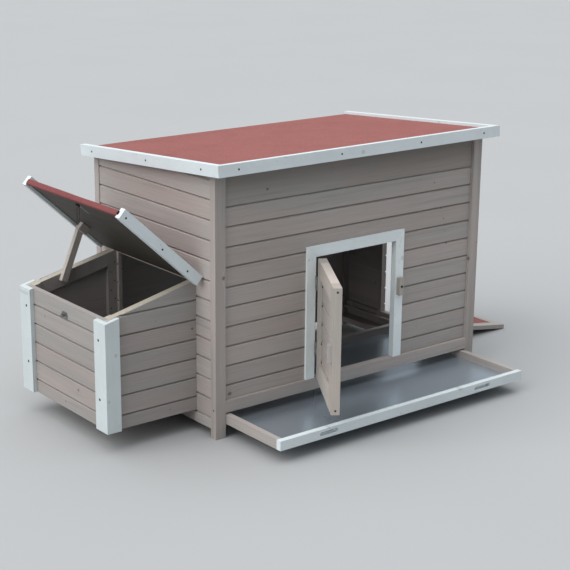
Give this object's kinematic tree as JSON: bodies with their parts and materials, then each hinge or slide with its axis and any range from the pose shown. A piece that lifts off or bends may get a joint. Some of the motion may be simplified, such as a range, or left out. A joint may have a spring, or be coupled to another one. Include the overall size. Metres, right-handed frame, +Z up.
{
  "type": "chicken coop",
  "caption": "Raised timber chicken coop with felted pent roof, side nest box with hinged lid, framed front door, pull-out droppings tray and drop-down ramp door.",
  "frame": {"origin": "bottom centre of the bounding box of the part as it stands, with the tray out, the door and the lid open and the ramp down", "axes": "+X to the right along the front, +Y to the back, +Z up"},
  "size_m": [1.7384, 0.9546, 0.8088],
  "materials": {
    "taupe_wood": "stained fir, satin",
    "white_wood": "painted white, satin",
    "red_felt": "mineral roofing felt",
    "galvanised": "galvanised sheet",
    "zinc_fitting": "zinc plated fittings"
  },
  "bodies": {
    "coop": {"front_posts": "taupe_wood", "rear_posts": "taupe_wood", "front_bottom_rail": "taupe_wood", "front_top_rail": "taupe_wood", "inner_rails": "taupe_wood", "front_wall_boards": "taupe_wood", "rear_wall_boards": "taupe_wood", "left_wall_boards": "taupe_wood", "right_wall_boards": "taupe_wood", "door_stop_battens": "taupe_wood", "pop_hole_battens": "taupe_wood", "tray_runners": "taupe_wood", "roof_board": "taupe_wood", "roof_felt": "red_felt", "roof_front_fascia": "white_wood", "roof_side_fascias": "white_wood", "roof_screws": "zinc_fitting", "door_frame_left_jamb": "white_wood", "door_frame_right_jamb": "white_wood", "door_frame_head": "white_wood", "door_hinge_frame_leaves": "zinc_fitting", "hinge_pins": "zinc_fitting", "turn_button_screws": "zinc_fitting", "ramp_button_block": "taupe_wood", "nest_front_boards": "taupe_wood", "nest_rear_boards": "taupe_wood", "nest_end_boards": "taupe_wood", "nest_floor": "taupe_wood", "nest_inner_battens": "taupe_wood", "nest_corner_trims": "white_wood", "nest_screws": "zinc_fitting", "lid_hinge_wall_leaves": "zinc_fitting", "eye_plate": "zinc_fitting", "ramp_hinge_wall_leaves": "zinc_fitting"},
    "front_door": {"door_stiles": "taupe_wood", "door_rails": "taupe_wood", "door_boards": "taupe_wood", "door_pull": "taupe_wood", "door_screws": "zinc_fitting", "door_hinge_door_leaves": "zinc_fitting"},
    "door_button": {"door_turn_button": "taupe_wood"},
    "ramp_button": {"ramp_turn_button": "taupe_wood"},
    "tray": {"tray_front_board": "white_wood", "tray_side_boards": "taupe_wood", "tray_rear_board": "taupe_wood", "tray_sheet": "galvanised"},
    "nest_lid": {"lid_panel": "taupe_wood", "lid_felt": "red_felt", "lid_side_trims": "white_wood", "lid_screws": "zinc_fitting", "prop_stick_block": "taupe_wood", "lid_hinge_lid_leaves": "zinc_fitting", "hasp_leaf_and_pin": "zinc_fitting"},
    "prop_stick": {"prop_stick": "taupe_wood"},
    "hasp": {"hasp_strap": "zinc_fitting"},
    "eye": {"turning_eye": "zinc_fitting"},
    "ramp": {"ramp_panel": "taupe_wood", "ramp_rails": "taupe_wood", "ramp_felt": "red_felt", "ramp_hinge_ramp_leaves": "zinc_fitting"}
  },
  "joints": [
    {"name": "front_door_hinge", "type": "hinge", "parent": "coop", "child": "front_door", "pos_m": [-0.19697, -0.1957, 0.3], "axis": [0, 0, 1], "range_deg": [-50, 122]},
    {"name": "door_button_turn", "type": "hinge", "parent": "coop", "child": "door_button", "pos_m": [0.13533, -0.1993, 0.34], "axis": [0, -1, 0], "range_deg": [-90, 90]},
    {"name": "ramp_button_turn", "type": "hinge", "parent": "coop", "child": "ramp_button", "pos_m": [0.49393, 0.1337, 0.488], "axis": [1, 0, 0], "range_deg": [-90, 90]},
    {"name": "tray_slide", "type": "slide", "parent": "coop", "child": "tray", "axis": [0, 1, 0], "range_m": [-0.2, 0.2513]},
    {"name": "nest_lid_hinge", "type": "hinge", "parent": "coop", "child": "nest_lid", "pos_m": [-0.56467, 0.127, 0.467], "axis": [0, 1, 0], "range_deg": [-55.05, 6]},
    {"name": "prop_stick_swing", "type": "hinge", "parent": "nest_lid", "child": "prop_stick", "pos_m": [-0.68693, 0.3147, 0.54073], "axis": [0, 1, 0], "range_deg": [-18, 30]},
    {"name": "hasp_hinge", "type": "hinge", "parent": "nest_lid", "child": "hasp", "pos_m": [-0.80183, 0.127, 0.66108], "axis": [0, 1, 0], "range_deg": [-9, 82.58]},
    {"name": "eye_turn", "type": "hinge", "parent": "coop", "child": "eye", "pos_m": [-0.86067, 0.127, 0.35], "axis": [-1, 0, 0], "range_deg": [0, 90]},
    {"name": "ramp_hinge", "type": "hinge", "parent": "coop", "child": "ramp", "pos_m": [0.47633, 0.1377, 0.072], "axis": [0, -1, 0], "range_deg": [0, 98.59]}
  ],
  "couplings": [
    {"joint": "hasp_hinge", "follows": "nest_lid_hinge", "ratio": -1.5}
  ]
}
